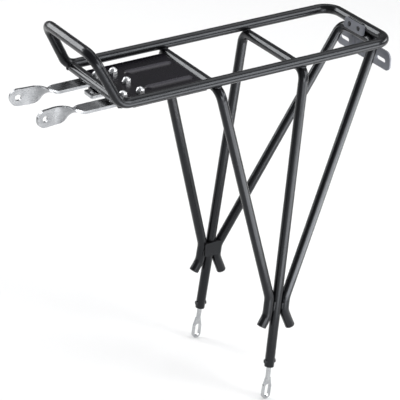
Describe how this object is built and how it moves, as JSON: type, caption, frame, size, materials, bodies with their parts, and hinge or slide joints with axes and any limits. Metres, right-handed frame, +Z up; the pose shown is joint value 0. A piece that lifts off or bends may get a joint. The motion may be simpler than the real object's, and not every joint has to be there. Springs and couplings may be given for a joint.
{
  "type": "rear rack",
  "caption": "Bicycle rear carrier rack of bent black tube with a raised front hoop, splayed legs on slotted foot eyes, a ribbed deck plate and adjustable twisted front stays.",
  "frame": {"origin": "midway between the two foot eyes, on the axis of the bolts at the upper ends of their slots", "axes": "+X to the front of the bicycle, +Y to its left, +Z up"},
  "size_m": [0.3832, 0.149, 0.4141],
  "materials": {
    "black_paint": "gloss black enamel",
    "plate_paint": "satin black enamel",
    "zinc": "bright zinc plate",
    "plug_plastic": "matt black"
  },
  "bodies": {
    "rack": {"main_loop": "black_paint", "front_crossbar": "black_paint", "front_leg_bow": "black_paint", "middle_leg_bow": "black_paint", "rear_leg_bow": "black_paint", "left_leg_gusset": "black_paint", "right_leg_gusset": "black_paint", "rear_lug": "black_paint", "left_foot_rivet": "black_paint", "right_foot_rivet": "black_paint", "deck_plate": "plate_paint", "reflector_bracket": "plate_paint", "leg_end_plugs": "plug_plastic", "left_foot_eye": "zinc", "right_foot_eye": "zinc", "left_stay_bolts": "zinc", "right_stay_bolts": "zinc", "bridge_tab_bolts": "zinc", "left_stay_washers": "zinc", "right_stay_washers": "zinc", "bridge_tab_washers": "zinc", "left_stay_cap_nuts": "zinc", "right_stay_cap_nuts": "zinc", "bridge_tab_cap_nuts": "zinc"},
    "left_stay": {"left_stay": "zinc"},
    "right_stay": {"right_stay": "zinc"},
    "bridge_tab": {"bridge_tab": "zinc"}
  },
  "joints": [
    {"name": "left_stay_slide", "type": "slide", "parent": "rack", "child": "left_stay", "axis": [1, 0, 0], "range_m": [-0.012, 0.012]},
    {"name": "right_stay_slide", "type": "slide", "parent": "rack", "child": "right_stay", "axis": [1, 0, 0], "range_m": [-0.012, 0.012]},
    {"name": "bridge_tab_slide", "type": "slide", "parent": "rack", "child": "bridge_tab", "axis": [1, 0, 0], "range_m": [-0.008, 0.008]}
  ]
}
